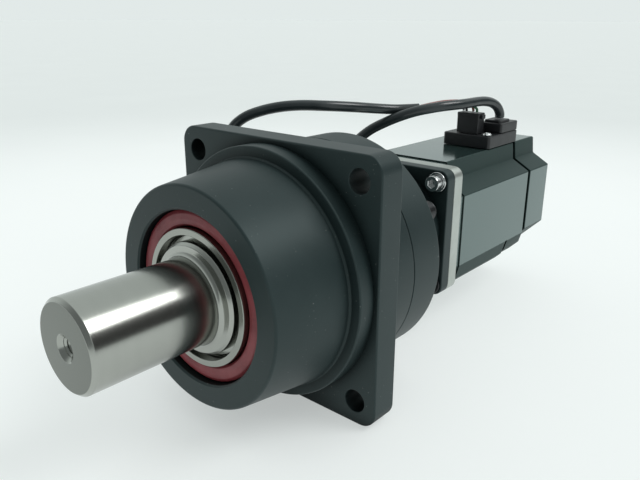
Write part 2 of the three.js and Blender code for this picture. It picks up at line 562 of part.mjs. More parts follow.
// a point of the bundle, moved square to its run and up
function besideBundle(k, across, up) {
  const [before, after] = [BUNDLE[Math.max(k - 1, 0)], BUNDLE[Math.min(k + 1, BUNDLE.length - 1)]];
  const [dx, ds] = [after[0] - before[0], after[1] - before[1]];
  const [x, s, z] = BUNDLE[k];
  return [x - across * ds / Math.hypot(dx, ds), s + across * dx / Math.hypot(dx, ds), z + up];
}
LEADS.forEach(({ name, x, side, color }, k) => {
  const [across, up] = side.map((sign) => sign * LEAD_OFFSET);
  const s = k % 2 === 0 ? 143.4 : 141.8;
  const route = [
    [x, s, POWER_PLUG.z1 + 0.5], [x - 0.1, s - 0.4, 50], [(x + 4) / 2 + across / 2, 139.8, 51.8 + up * 0.9],
    ...BUNDLE.map((_, point) => besideBundle(point, across, up)),
  ];
  add(name, along(route, LEAD_R, 6, 18), finish(color, 0.45, 0));
});

// ---- the connectors on the far ends of the two cables, lying on the table behind the gear case
function lyingConnector(x, start, width, height, length) {
  const z0 = -AXIS_HEIGHT + 0.1;
  return join(
    block({ x0: x - width / 2, x1: x + width / 2, s0: start + 4, s1: start + length, z0, z1: z0 + height }),
    rod(3.4, start + 0.3, start + 5, 12, x, z0 + height / 2),
  );
}
add('power_connector', lyingConnector(-66, 88, 13, 9.5, 22), finish(0xc9c9bf, 0.45, 0));
add('encoder_connector', lyingConnector(-49, 152, 14, 8, 20), finish(0x232526, 0.45, 0));

export default model;
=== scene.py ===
"""Looks for the inline gear reducer with its servo motor.

Sizes are in millimetres in the same terms as the CAD: x to the right of the shaft axis, a station measured
backwards along the axis from the mounting flange's front face, and a height above the axis.
"""
import math

import bmesh
import bpy
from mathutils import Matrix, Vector
from mathutils.geometry import tessellate_polygon


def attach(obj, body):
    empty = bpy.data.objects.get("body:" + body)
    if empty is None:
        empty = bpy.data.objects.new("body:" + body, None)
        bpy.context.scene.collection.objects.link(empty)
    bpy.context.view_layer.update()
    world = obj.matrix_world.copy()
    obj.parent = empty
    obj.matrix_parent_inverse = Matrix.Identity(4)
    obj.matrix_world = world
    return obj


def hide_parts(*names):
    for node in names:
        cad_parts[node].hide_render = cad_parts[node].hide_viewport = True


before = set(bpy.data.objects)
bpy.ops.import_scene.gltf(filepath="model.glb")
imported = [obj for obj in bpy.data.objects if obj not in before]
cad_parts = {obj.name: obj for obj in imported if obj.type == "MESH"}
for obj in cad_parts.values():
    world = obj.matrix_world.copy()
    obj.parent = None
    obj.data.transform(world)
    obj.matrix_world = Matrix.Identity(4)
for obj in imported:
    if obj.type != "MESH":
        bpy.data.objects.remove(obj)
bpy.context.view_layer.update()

MM = 0.001
AXIS_HEIGHT = 52.0
FLANGE_FACE_Y = -52.5
TAU = 2 * math.pi


def place(x, station, up):
    """A point of the frame, in metres."""
    return Vector((x * MM, (station + FLANGE_FACE_Y) * MM, (up + AXIS_HEIGHT) * MM))


def polar(radius, degrees):
    return (radius * math.cos(math.radians(degrees)), radius * math.sin(math.radians(degrees)))


# ---------------------------------------------------------------- camera
SENSOR_WIDTH = 36.0
LENS = 36.68
CAMERA_PLACE = (0.17273, -0.22214, 0.14640)
VIEW_DIRECTION = Vector((-0.6217, 0.7138, -0.3224))
CAMERA_ROLL = math.radians(0.17)

camera_data = bpy.data.cameras.new("camera")
camera_data.sensor_width = SENSOR_WIDTH
camera_data.lens = LENS
camera_data.clip_start = 0.01
camera = bpy.data.objects.new("camera", camera_data)
bpy.context.scene.collection.objects.link(camera)
camera.location = CAMERA_PLACE
camera.rotation_euler = VIEW_DIRECTION.to_track_quat("-Z", "Y").to_euler()
camera.rotation_euler.rotate_axis("Z", CAMERA_ROLL)
bpy.context.scene.camera = camera


# ---------------------------------------------------------------- materials
CLOSED_IN = 0.45           # ambient occlusion of a hole or groove
OPEN = 0.85                # and of an open face
WORN_EDGE = 0.6            # mm
SHAFT_END_Y = -0.12        # the output shaft's end face lies in front of this
WORN_METAL = (0.22, 0.23, 0.22)
DUST = (0.30, 0.31, 0.30)
# painted shade for the output shaft's end face
END_SHADE_STEEL = (0.12, 0.13, 0.115)


class Nodes:
    """A short way to build one material's node tree."""

    def __init__(self, name, roughness, metallic=0.0, specular=0.5):
        self.material = bpy.data.materials.new(name)
        self.material.use_nodes = True
        self.tree = self.material.node_tree
        self.shader = self.tree.nodes["Principled BSDF"]
        self.shader.inputs["Roughness"].default_value = roughness
        self.shader.inputs["Metallic"].default_value = metallic
        self.shader.inputs["Specular IOR Level"].default_value = specular
        self.where = self.add("ShaderNodeTexCoord").outputs["Object"]

    def add(self, kind, **settings):
        node = self.tree.nodes.new(kind)
        for key, value in settings.items():
            setattr(node, key, value)
        return node

    def link(self, source, target):
        self.tree.links.new(source, target)

    def noise(self, scale, detail=3.0, rough=0.5, where=None):
        node = self.add("ShaderNodeTexNoise")
        node.inputs["Scale"].default_value = scale
        node.inputs["Detail"].default_value = detail
        node.inputs["Roughness"].default_value = rough
        self.link(where or self.where, node.inputs["Vector"])
        return node.outputs["Fac"]

    def ramp(self, value, low, high):
        """0 up to the low value, rising to 1 at the high one."""
        node = self.add("ShaderNodeValToRGB")
        first, last = node.color_ramp.elements
        first.position = low
        last.position = high
        self.link(value, node.inputs["Fac"])
        return node.outputs["Color"]

    def math(self, operation, a, b=None):
        node = self.add("ShaderNodeMath", operation=operation)
        for socket, value in zip(node.inputs, (a, b)):
            if value is None:
                continue
            if isinstance(value, (int, float)):
                socket.default_value = value
            else:
                self.link(value, socket)
        return node.outputs[0]

    def mix(self, factor, a, b):
        node = self.add("ShaderNodeMix", data_type="RGBA")
        for socket, value in ((node.inputs[0], factor), (node.inputs[6], a), (node.inputs[7], b)):
            if isinstance(value, tuple):
                socket.default_value = (*value, 1)
            elif isinstance(value, (int, float)):
                socket.default_value = value
            else:
                self.link(value, socket)
        return node.outputs[2]

    def spread(self, value, low, high):
        node = self.add("ShaderNodeMapRange")
        node.inputs["To Min"].default_value = low
        node.inputs["To Max"].default_value = high
        self.link(value, node.inputs["Value"])
        return node.outputs["Result"]

    def openness(self, distance):
        """0 deep in holes and grooves, rising to 1 on open faces."""
        shade = self.add("ShaderNodeAmbientOcclusion", samples=6)
        shade.inputs["Distance"].default_value = distance * MM
        return self.ramp(shade.outputs["AO"], CLOSED_IN, OPEN)

    def shaft_end_face(self):
        """1 on the output shaft's flat end and 0 elsewhere."""
        normal = self.add("ShaderNodeSeparateXYZ")
        self.link(self.add("ShaderNodeNewGeometry").outputs["True Normal"], normal.inputs["Vector"])
        square = self.ramp(self.math("ABSOLUTE", normal.outputs["Y"]), 0.98, 0.995)
        parts = self.add("ShaderNodeSeparateXYZ")
        self.link(self.where, parts.inputs["Vector"])
        return self.math("MULTIPLY", square, self.math("LESS_THAN", parts.outputs["Y"], SHAFT_END_Y))

    def edges(self):
        """1 on worn edges and 0 elsewhere: where a rounded normal leaves the plain one."""
        bevel = self.add("ShaderNodeBevel", samples=4)
        bevel.inputs["Radius"].default_value = WORN_EDGE * MM
        plain = self.add("ShaderNodeNewGeometry").outputs["Normal"]
        dot = self.add("ShaderNodeVectorMath", operation="DOT_PRODUCT")
        self.link(bevel.outputs["Normal"], dot.inputs[0])
        self.link(plain, dot.inputs[1])
        away = self.math("SUBTRACT", 1.0, dot.outputs["Value"])
        return self.ramp(away, 0.03, 0.16)

    def around_axis(self):
        """Coordinates for turning marks: radius and station, the same all round the unit's axis."""
        parts = self.add("ShaderNodeSeparateXYZ")
        self.link(self.where, parts.inputs[0])
        x = parts.outputs["X"]
        z = self.math("SUBTRACT", parts.outputs["Z"], AXIS_HEIGHT * MM)
        radius = self.math("SQRT", self.math("ADD", self.math("MULTIPLY", x, x), self.math("MULTIPLY", z, z)))
        join = self.add("ShaderNodeCombineXYZ")
        self.link(radius, join.inputs["X"])
        self.link(parts.outputs["Y"], join.inputs["Y"])
        return join.outputs[0]

    def colour(self, value):
        self.link(value, self.shader.inputs["Base Color"])

    def rough(self, value, low, high):
        self.link(self.spread(value, low, high), self.shader.inputs["Roughness"])

    def bump(self, height, depth):
        node = self.add("ShaderNodeBump")
        node.inputs["Distance"].default_value = depth * MM
        self.link(height, node.inputs["Height"])
        self.link(node.outputs["Normal"], self.shader.inputs["Normal"])


def paint(name, dark, light, roughness, grain, wear, specks=0.0, ior=1.42, tint=(0.8, 1.0, 0.98), reach=5.0):
    """Sprayed paint: cloudy colour, fine grain, rubbed edges and a few pale specks of dust.

    Holes and corners that have something within reach get painted shade: a darker colour and a weaker
    reflection.
    """
    n = Nodes(name, roughness)
    n.shader.inputs["Specular Tint"].default_value = (*tint, 1)
    n.shader.inputs["IOR"].default_value = ior
    cloud = n.noise(26, 4, 0.6)
    colour = n.mix(n.ramp(cloud, 0.35, 0.68), dark, light)
    if specks:
        dust = n.ramp(n.noise(1300, 1, 0.4), 0.76, 0.80)
        patch = n.ramp(n.noise(48, 2, 0.5), 0.42, 0.6)
        colour = n.mix(n.math("MULTIPLY", n.math("MULTIPLY", dust, patch), specks), colour, DUST)
    rubbed = n.math("MULTIPLY", n.edges(), n.ramp(n.noise(160, 4, 0.65), 0.46, 0.66))
    colour = n.mix(n.math("MULTIPLY", rubbed, wear), colour, WORN_METAL)
    # painted shade: a darker colour and a weaker reflection in holes and corners, from ambient occlusion
    openness = n.openness(reach)
    n.colour(n.mix(openness, tuple(0.35 * part for part in dark), colour))
    n.link(n.spread(openness, 0.12, 0.5), n.shader.inputs["Specular IOR Level"])
    n.rough(cloud, roughness - 0.05, roughness + 0.07)
    n.bump(n.noise(1100, 2, 0.5), grain)
    return n.material


def turned_metal(name, colour_a, colour_b, rough_low, rough_high, lines=4200, depth=0.004, end_shade=0.0):
    """Bright metal with fine turning or grinding marks round its axis. The shaft's end face can be darkened
    as painted shade.
    """
    n = Nodes(name, rough_low, metallic=1.0)
    coords = n.around_axis()
    marks = n.noise(lines, 2, 0.7, coords)
    broad = n.noise(190, 3, 0.6, coords)
    cloud = n.noise(40, 3, 0.6)
    colour = n.mix(n.math("MULTIPLY", n.math("ADD", broad, cloud), 0.5), colour_a, colour_b)
    # painted shade: the output shaft's end face is darkened toward a dark steel colour
    if end_shade:
        colour = n.mix(n.math("MULTIPLY", n.shaft_end_face(), end_shade), colour, END_SHADE_STEEL)
    n.colour(colour)
    n.rough(marks, rough_low, rough_high)
    n.bump(marks, depth)
    return n.material


def plain_metal(name, colour_a, colour_b, rough_low, rough_high, scale=220, depth=0.02):
    """Machined or plated metal with a cloudy, slightly scratched surface."""
    n = Nodes(name, rough_low, metallic=1.0)
    cloud = n.noise(scale, 5, 0.65)
    n.colour(n.mix(cloud, colour_a, colour_b))
    n.rough(n.noise(scale * 3, 4, 0.6), rough_low, rough_high)
    n.bump(n.noise(scale * 6, 3, 0.6), depth)
    return n.material


def moulded(name, dark, light, rough_low, rough_high, grain, scale):
    """Moulded plastic or rubber: faint clouding, finger marks in the gloss and a fine grain."""
    n = Nodes(name, rough_low)
    n.colour(n.mix(n.ramp(n.noise(scale, 4, 0.6), 0.35, 0.7), dark, light))
    n.rough(n.noise(scale * 2.2, 4, 0.6), rough_low, rough_high)
    n.bump(n.noise(1400, 3, 0.6), grain)
    return n.material


CASE_PAINT = paint("case_paint", (0.015, 0.026, 0.027), (0.023, 0.036, 0.037), 0.46, 0.012, 0.5, specks=0.8,
                   tint=(0.84, 1.0, 0.99), reach=10.0)
MOTOR_DARK = (0.016, 0.034, 0.032)
MOTOR_LIGHT = (0.023, 0.043, 0.040)
MOTOR_PAINT = paint("motor_paint", MOTOR_DARK, MOTOR_LIGHT, 0.13, 0.002, 0.3, ior=2.3)
# painted shade: the same paint with a weaker, rougher reflection, for the motor's slanting faces
MOTOR_SHADED_FACET_PAINT = paint("motor_shaded_facet_paint", MOTOR_DARK, MOTOR_LIGHT, 0.53, 0.002, 0.3, ior=1.38)
GROUND_STEEL = turned_metal("ground_steel", (0.34, 0.35, 0.325), (0.42, 0.43, 0.40), 0.16, 0.26,
                            end_shade=0.85)
SLEEVE_STEEL = turned_metal("sleeve_steel", (0.28, 0.29, 0.265), (0.36, 0.37, 0.34), 0.17, 0.27)
BEARING_STEEL = turned_metal("bearing_steel", (0.50, 0.51, 0.52), (0.62, 0.63, 0.64), 0.16, 0.26)
GEAR_STEEL = plain_metal("gear_steel", (0.28, 0.28, 0.29), (0.40, 0.40, 0.41), 0.28, 0.45)
CORE_STEEL = turned_metal("core_steel", (0.10, 0.10, 0.11), (0.20, 0.20, 0.21), 0.35, 0.5, lines=1500,
                          depth=0.05)
ALUMINIUM = plain_metal("aluminium", (0.42, 0.45, 0.42), (0.58, 0.61, 0.58), 0.34, 0.50, 90, 0.012)
BRIGHT_SCREW = plain_metal("bright_screw", (0.66, 0.67, 0.67), (0.84, 0.85, 0.85), 0.12, 0.26, 300, 0.01)
BLACK_SCREW = plain_metal("black_screw", (0.035, 0.036, 0.038), (0.075, 0.077, 0.08), 0.30, 0.46, 300, 0.02)
COPPER = plain_metal("copper_wire", (0.42, 0.15, 0.06), (0.62, 0.27, 0.12), 0.3, 0.45, 400, 0.08)
SEAL_RUBBER = moulded("seal_rubber", (0.20, 0.024, 0.032), (0.30, 0.050, 0.060), 0.36, 0.56, 0.02, 120)
CABLE_SHEATH = moulded("cable_sheath", (0.018, 0.025, 0.027), (0.034, 0.043, 0.046), 0.16, 0.30, 0.012, 60)
BLACK_RUBBER = moulded("black_rubber", (0.010, 0.010, 0.010), (0.022, 0.022, 0.023), 0.45, 0.65, 0.04, 90)
BLACK_PLASTIC = moulded("black_plastic", (0.006, 0.007, 0.009), (0.013, 0.014, 0.016), 0.34, 0.50, 0.012, 80)
WHITE_PLASTIC = moulded("white_plastic", (0.50, 0.50, 0.45), (0.62, 0.62, 0.57), 0.35, 0.5, 0.02, 80)
BOARD_GREEN = moulded("circuit_board", (0.012, 0.085, 0.035), (0.02, 0.14, 0.06), 0.3, 0.45, 0.02, 300)
LEAD_COLOURS = {
    "lead_red": moulded("lead_red", (0.24, 0.05, 0.04), (0.34, 0.09, 0.07), 0.3, 0.45, 0.01, 200),
    "lead_green": moulded("lead_green", (0.02, 0.11, 0.045), (0.03, 0.16, 0.07), 0.25, 0.4, 0.01, 200),
    "lead_black": moulded("lead_black", (0.01, 0.01, 0.01), (0.02, 0.02, 0.02), 0.2, 0.35, 0.01, 200),
    "lead_white": moulded("lead_white", (0.36, 0.36, 0.38), (0.46, 0.46, 0.48), 0.25, 0.4, 0.01, 200),
}


# ---------------------------------------------------------------- shapes
SQUARE_FACE = 0.9975   # a face's largest normal component, from which it counts as square to the axes
BEVEL_STEPS = 3
KNURLS = 36


def finish_piece(name, mesh, material, slot, body, nodes, smooth_angle=38.0):
    """Turns a mesh into a piece that rides on its body and stands for its CAD nodes."""
    mesh.materials.append(material)
    for face in mesh.polygons:
        face.use_smooth = True
    mesh.set_sharp_from_angle(angle=math.radians(smooth_angle))
    piece = bpy.data.objects.new(name, mesh)
    bpy.context.scene.collection.objects.link(piece)
    weighted = piece.modifiers.new("weighted_normals", "WEIGHTED_NORMAL")
    weighted.keep_sharp = True
    weighted.weight = 80
    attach(piece, body)
    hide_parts(*nodes)
    return piece


def shade_slanting_faces(piece, material):
    """Gives the faces that slant away from all three axes a second material, less glossy and less reflective,
    as painted shade.
    """
    piece.data.materials.append(material)
    for face in piece.data.polygons:
        if max(abs(part) for part in face.normal) < SQUARE_FACE:
            face.material_index = 1


def mesh_of(name, points, faces):
    mesh = bpy.data.meshes.new(name)
    work = bmesh.new()
    verts = [work.verts.new(p) for p in points]
    for face in faces:
        work.faces.new([verts[i] for i in face])
    bmesh.ops.remove_doubles(work, verts=work.verts, dist=1e-7)
    bmesh.ops.recalc_face_normals(work, faces=work.faces)
    work.to_mesh(mesh)
    work.free()
    return mesh


class Builder:
    """Collects the closed solids that make up one piece."""

    def __init__(self):
        self.points = []
        self.faces = []

    def loop(self, points):
        start = len(self.points)
        self.points.extend(points)
        return list(range(start, len(self.points)))

    def wall(self, a, b):
        count = len(a)
        for i in range(count):
            j = (i + 1) % count
            self.faces.append((a[i], a[j], b[j], b[i]))

    def cap(self, loops):
        order = [i for loop in loops for i in loop]
        flat = [[self.points[i] for i in loop] for loop in loops]
        for a, b, c in tessellate_polygon(flat):
            self.faces.append((order[a], order[b], order[c]))

    def mesh(self, name):
        return mesh_of(name, self.points, self.faces)


def softened(corners, closed, steps):
    """Rounds the corners of an outline. A corner is (a, b) or (a, b, radius)."""
    out = []
    count = len(corners)
    for i, corner in enumerate(corners):
        here = Vector(corner[:2])
        radius = corner[2] if len(corner) > 2 else 0.0
        ends = not closed and i in (0, count - 1)
        if ends or not radius:
            out.append(tuple(here))
            continue
        before = Vector(corners[i - 1][:2]) - here
        after = Vector(corners[(i + 1) % count][:2]) - here
        half = before.angle(after) / 2
        back = min(radius / math.tan(half), before.length * 0.49, after.length * 0.49)
        radius = back * math.tan(half)
        a = here + before.normalized() * back
        b = here + after.normalized() * back
        centre = here + (before.normalized() + after.normalized()).normalized() * (radius / math.sin(half))
        arm_a = a - centre
        sweep = arm_a.angle_signed(b - centre)
        for k in range(steps + 1):
            turn = -sweep * k / steps
            cos, sin = math.cos(turn), math.sin(turn)
            out.append((centre.x + arm_a.x * cos - arm_a.y * sin, centre.y + arm_a.x * sin + arm_a.y * cos))
    return out


def spin(builder, profile, segments, steps, point):
    """Adds a turned solid. Its profile is (radius, distance along the axis, corner radius).

    The profile closes on itself, unless it starts on the axis. point(across, aside, along) is a point of the
    frame, with the first two measured from the axis.
    """
    closed = profile[0][0] > 0
    rings = []
    for radius, along in softened(profile, closed, steps):
        angles = [TAU * k / segments for k in range(segments if radius > 0 else 1)]
        rings.append(builder.loop([point(radius * math.cos(a), radius * math.sin(a), along) for a in angles]))
    for a, b in zip(rings, rings[1:] + rings[:1] if closed else rings[1:]):
        if len(a) == 1:
            builder.faces.extend((a[0], b[k], b[(k + 1) % segments]) for k in range(segments))
        elif len(b) == 1:
            builder.faces.extend((b[0], a[(k + 1) % segments], a[k]) for k in range(segments))
        else:
            builder.wall(a, b)
    return builder


def turn_on(builder, profile, segments, x=0.0, up=0.0):
    """Adds a turned solid about an axis along Y. Its profile is (radius, station, corner radius)."""
    return spin(builder, profile, segments, 4,
                lambda across, aside, along: place(x + across, along, up + aside))


def turned(name, profile, material, slot, nodes, body="housing", segments=160, x=0.0, up=0.0,
           smooth_angle=38.0):
    mesh = turn_on(Builder(), profile, segments, x, up).mesh(name)
    return finish_piece(name, mesh, material, slot, body, nodes, smooth_angle)


def stand_up(profile, x, station):
    """A turned solid about an upright axis. Its profile is (radius, height, corner radius)."""
    return spin(Builder(), profile, 48, 3,
                lambda across, aside, along: place(x + across, station + aside, along))


def circle(radius, x=0.0, y=0.0, count=48):
    """A hole or disc outline that grows or shrinks with an inset."""
    return lambda inset: [
        (x + (radius - inset) * math.cos(TAU * k / count), y + (radius - inset) * math.sin(TAU * k / count))
        for k in range(count)]


def hole(radius, x=0.0, y=0.0, count=48):
    grown = circle(radius, x, y, count)
    return lambda inset: grown(-inset)


def outline(corners, radius, steps=6):
    """An outline of straight sides with rounded corners, whose sides move inwards with an inset."""
    def shape(inset):
        moved = []
        count = len(corners)
        for i in range(count):
            a, b, c = (Vector(corners[(i + k) % count]) for k in (-1, 0, 1))
            one = (b - a).normalized()
            two = (c - b).normalized()
            inward_one = Vector((-one.y, one.x))
            inward_two = Vector((-two.y, two.x))
            bisector = (inward_one + inward_two).normalized()
            moved.append(b + bisector * (inset / bisector.dot(inward_one)))
        turns = []
        for i in range(count):
            one = moved[i] - moved[i - 1]
            two = moved[(i + 1) % count] - moved[i]
            convex = one.x * two.y - one.y * two.x > 0
            here = max(radius - inset, 0.05) if convex else radius + inset
            turns.append((*moved[i], here))
        return softened(turns, True, steps)
    return shape


def rectangle(x0, x1, y0, y1, radius, steps=6):
    return outline([(x0, y0), (x1, y0), (x1, y1), (x0, y1)], radius, steps)


def slab_on(builder, outer, start, end, bevels, holes=(), hole_bevel=0.0, axis="Y"):
    """Adds an outline pushed along an axis, with rounded edges at either end and through holes.

    Along Y the outline is (x, height) and the limits are stations. Along Z it is (x, station) and they are
    heights.
    """
    def point(a, b, depth):
        return place(a, depth, b) if axis == "Y" else place(a, b, depth)

    def levels(first, last):
        out = []
        for k in range(BEVEL_STEPS + 1) if first else [BEVEL_STEPS]:
            angle = math.pi / 2 * k / BEVEL_STEPS
            out.append((first * (1 - math.sin(angle)), start + first * (1 - math.cos(angle))))
        for k in range(BEVEL_STEPS, -1, -1) if last else [BEVEL_STEPS]:
            angle = math.pi / 2 * k / BEVEL_STEPS
            out.append((last * (1 - math.sin(angle)), end - last * (1 - math.cos(angle))))
        return out

    ends = [[], []]
    shapes = [(outer, bevels)] + [(shape, (hole_bevel, hole_bevel)) for shape in holes]
    for shape, pair in shapes:
        loops = [builder.loop([point(a, b, depth) for a, b in shape(inset)])
                 for inset, depth in levels(*pair)]
        for a, b in zip(loops, loops[1:]):
            builder.wall(a, b)
        ends[0].append(loops[0])
        ends[1].append(loops[-1])
    builder.cap(ends[0])
    builder.cap(ends[1])
    return builder


def slab(name, outer, start, end, material, slot, nodes, bevels, holes=(), hole_bevel=0.0):
    mesh = slab_on(Builder(), outer, start, end, bevels, holes, hole_bevel).mesh(name)
    return finish_piece(name, mesh, material, slot, "housing", nodes)


def cap_screw(name, x, up, material, slot, head_at, tip, radius, height, shank, hexagon, depth):
    """A cap screw along Y: knurled head with a hexagon socket, and its shank, as closed solids."""
    builder = Builder()
    forward = 1 if tip > head_at else -1

    def around(r, angle, away):
        return place(x + r * math.cos(angle), head_at + forward * away, up + r * math.sin(angle))

    def head_ring(r, away, rib=0.0):
        count = KNURLS * 2
        return builder.loop([around(r - rib * (k % 2), TAU * k / count, away) for k in range(count)])

    def hex_ring(r, away):
        return builder.loop([around(r, TAU * (k + 0.5) / 6, away) for k in range(6)])

    edge = 0.12 * radius
    rib = 0.05 * radius
    outer = [
        head_ring(radius - edge, 0), head_ring(radius - 0.3 * edge, 0.3 * edge), head_ring(radius, edge),
        head_ring(radius, edge * 1.5, rib), head_ring(radius, height - edge * 0.6, rib),
        head_ring(radius - 0.5 * edge, height)]
    for a, b in zip(outer, outer[1:]):
        builder.wall(a, b)
    inner = [hex_ring(hexagon * 1.08, 0), hex_ring(hexagon, 0.08 * hexagon), hex_ring(hexagon, depth)]
    for a, b in zip(inner, inner[1:]):
        builder.wall(a, b)
    builder.cap([outer[0], inner[0]])
    builder.cap([inner[-1]])
    builder.cap([outer[-1]])
    start = head_at + forward * (height - 0.4)
    shank_profile = [(0, start), (shank, start), (shank, tip - forward * 0.5), (shank - 0.5, tip), (0, tip)]
    turn_on(builder, shank_profile, 24, x, up)
    return finish_piece(name, builder.mesh(name), material, slot, "housing", (name,))


# ---------------------------------------------------------------- gear case
FLANGE_HALF = 52.0
FLANGE_THICK = 12.0
FLANGE_CORNER = 7.0
CASE_BORE = 37.2
BOLT_OFFSET = 60 / math.sqrt(2)
BOLT_HOLE = 4.5
SIGNS = [(1, 1), (-1, 1), (-1, -1), (1, -1)]

turned("gear_case_nose", [
    (32.4, -31.4), (32.4, -39.3, 0.2), (33.1, -40, 0.2), (41.6, -40, 1.1), (45.4, -8.3, 0.5),
    (45.9, -7.5, 0.4), (50, -7.5, 0.7), (50, 0.6), (CASE_BORE, 0.6), (CASE_BORE, -5.3), (34.2, -5.3),
    (34.2, -29.8), (30, -29.8), (30, -31.4),
], CASE_PAINT, "case_paint", ("gear_case",), segments=200)

FLANGE = rectangle(-FLANGE_HALF, FLANGE_HALF, -FLANGE_HALF, FLANGE_HALF, FLANGE_CORNER, 10)
FLANGE_HOLES = [hole(BOLT_HOLE, sx * BOLT_OFFSET, sz * BOLT_OFFSET) for sx, sz in SIGNS]
slab("gear_case_flange", FLANGE, 0, FLANGE_THICK, CASE_PAINT, "case_paint", ("gear_case",),
     bevels=(0.7, 0.7), hole_bevel=0.35, holes=[hole(CASE_BORE, count=96), *FLANGE_HOLES])

# ---------------------------------------------------------------- shaft seal, sleeve and output shaft
turned("oil_seal", [
    (26.1, -36.4, 0.2), (26.8, -37.4, 0.5), (28.7, -37.8, 1.5), (30.7, -37.6, 1), (32, -36.8, 0.4),
    (32, -31.8), (26.1, -31.8), (26.1, -34),
], SEAL_RUBBER, "seal_rubber", ("oil_seal",))

turned("seal_sleeve", [
    (23.2, -34.7), (23.2, -39, 0.25), (25.7, -39, 0.35), (25.7, -30.2), (22.8, -30.2), (22.8, -34.3),
], SLEEVE_STEEL, "bearing_steel", ("seal_sleeve",), body="output")

TAP_RADIUS = 3.4
TAP_MOUTH = -86.4
TAP_PITCH = 1.25
TAP_TURNS = 11
THREAD_DEPTH = 0.55
tap_profile = [(TAP_RADIUS - THREAD_DEPTH * (k % 2), TAP_MOUTH + TAP_PITCH / 2 * k)
               for k in range(2 * TAP_TURNS)]
turned("output_shaft", [
    (0, -68.2), (2.6, -70.5), *reversed(tap_profile), (TAP_RADIUS, -86.6), (4.75, -88, 0.15),
    (14.8, -88, 0.3), (16, -86.7, 0.5), (16, -40.3, 3), (19.8, -40.1, 0.5), (20.9, -39, 0.4), (20.9, -34.6),
    (22.4, -34.6), (22.4, -17), (24.9, -17), (24.9, 9.2), (33, 9.2, 0.3), (33, 13.6, 0.3), (0, 13.6),
], GROUND_STEEL, "ground_steel", ("output_shaft",), body="output", smooth_angle=30)

# ---------------------------------------------------------------- ring gear and adapter housing
HOUSING_R = 48.4
PLATE_BORE = 25.4
slab("ring_gear", circle(HOUSING_R, count=200), 12.3, 28, CASE_PAINT, "case_paint", ("ring_gear",),
     bevels=(0.35, 0.35), holes=[hole(37.9, count=96)])

turned("adapter_housing", [
    (21, 45.4), (21, 83.4), (PLATE_BORE, 83.4), (PLATE_BORE, 84), (27, 84), (27, 50.2, 3), (31, 46.6, 2.5),
    (HOUSING_R, 46.6, 1.1), (HOUSING_R, 28.3, 0.35), (35.4, 28.3), (35.4, 33), (15, 33), (15, 35.6),
    (18.6, 35.6), (18.6, 43.4),
], CASE_PAINT, "case_paint", ("adapter_housing",), segments=200)

SCREW_OFFSET = 24.75
PLATE = rectangle(-30, 30, -30, 30, 4.5, 8)
PLATE_HOLES = [hole(2.4, sx * SCREW_OFFSET, sz * SCREW_OFFSET, 24) for sx, sz in SIGNS]
slab("adapter_plate", PLATE, 81, 87, CASE_PAINT, "case_paint", ("adapter_housing",),
     bevels=(0.5, 0.4), hole_bevel=0.2, holes=[hole(PLATE_BORE, count=72), *PLATE_HOLES])

plug = stand_up([
    (0, 22), (4.9, 22), (4.9, 27.3), (6.2, 27.3), (6.2, 28.6, 0.4), (4.6, 28.6, 0.2), (4.2, 28.1, 0.2),
    (0, 28.1)], 0, 59)
finish_piece("access_plug", plug.mesh("access_plug"), BLACK_RUBBER, "black_rubber", "housing",
             ("access_plug",))

# ---------------------------------------------------------------- screws
CASE_SCREW_CIRCLE = 43.0
CASE_SCREW = {
    "head_at": 51.9, "tip": 3.7, "radius": 4.25, "height": 5.0, "shank": 2.45, "hexagon": 2.5, "depth": 2.6,
}
MOTOR_SCREW = {
    "head_at": 75.4, "tip": 93.3, "radius": 3.5, "height": 4.0, "shank": 1.95, "hexagon": 2.0, "depth": 2.2,
}

for k, angle in enumerate((28, 118, 208, 298)):
    x, up = polar(CASE_SCREW_CIRCLE, angle)
    cap_screw(f"case_screw_{k + 1}", x, up, BLACK_SCREW, "black_screw", **CASE_SCREW)

for k, (sx, sz) in enumerate(SIGNS):
    x, up = sx * SCREW_OFFSET, sz * SCREW_OFFSET
    # The upper two screws and washers are bright and the lower two dark.
    look, slot = (BRIGHT_SCREW, "bright_screw") if sz > 0 else (BLACK_SCREW, "black_screw")
    cap_screw(f"motor_screw_{k + 1}", x, up, look, slot, **MOTOR_SCREW)
    turned(f"motor_washer_{k + 1}", [
        (2.4, 79.7), (4.5, 79.7, 0.25), (4.5, 80.7, 0.15), (2.4, 80.7),
    ], look, slot, (f"motor_washer_{k + 1}",), segments=48, x=x, up=up)

# ---------------------------------------------------------------- motor
slab("motor_flange", PLATE, 87.3, 94, ALUMINIUM, "aluminium", ("motor_flange",),
     bevels=(0.35, 0.35), hole_bevel=0.1, holes=[hole(16.2, count=72), *PLATE_HOLES])


def carved(mesh, *cutters):
    """The first solid with the others cut out of it, as one closed mesh."""
    solids = [bpy.data.objects.new("solid", each) for each in (mesh, *cutters)]
    for each in solids:
        bpy.context.scene.collection.objects.link(each)
    for cutter in solids[1:]:
        cut = solids[0].modifiers.new("cut", "BOOLEAN")
        cut.operation = "DIFFERENCE"
        cut.solver = "EXACT"
        cut.object = cutter
    seen = solids[0].evaluated_get(bpy.context.evaluated_depsgraph_get())
    result = bpy.data.meshes.new_from_object(seen)
    for each in solids:
        bpy.data.objects.remove(each)
    return result


def mirrored(right_side):
    """A closed outline from its right side, listed from the bottom up."""
    return right_side + [(-x, z) for x, z in reversed(right_side)]


BOTTOM = -29.8
UPPER_CORNER = [(30, 16), (20.5, 21.5), (19.5, 30.5)]
BODY_SHAPE = outline(mirrored([(24.6, BOTTOM), (28, -26.4), (30, -19), *UPPER_CORNER]), 0.7, 4)
COVER_SHAPE = outline(mirrored([(17.8, BOTTOM), (30, -17.6), *UPPER_CORNER]), 0.9, 4)
SLOT_START = 146.0
SLOT_END = 148.0
BODY_END = 166.5

body = slab_on(Builder(), BODY_SHAPE, 94.3, BODY_END, (0.3, 0.4)).mesh("body")
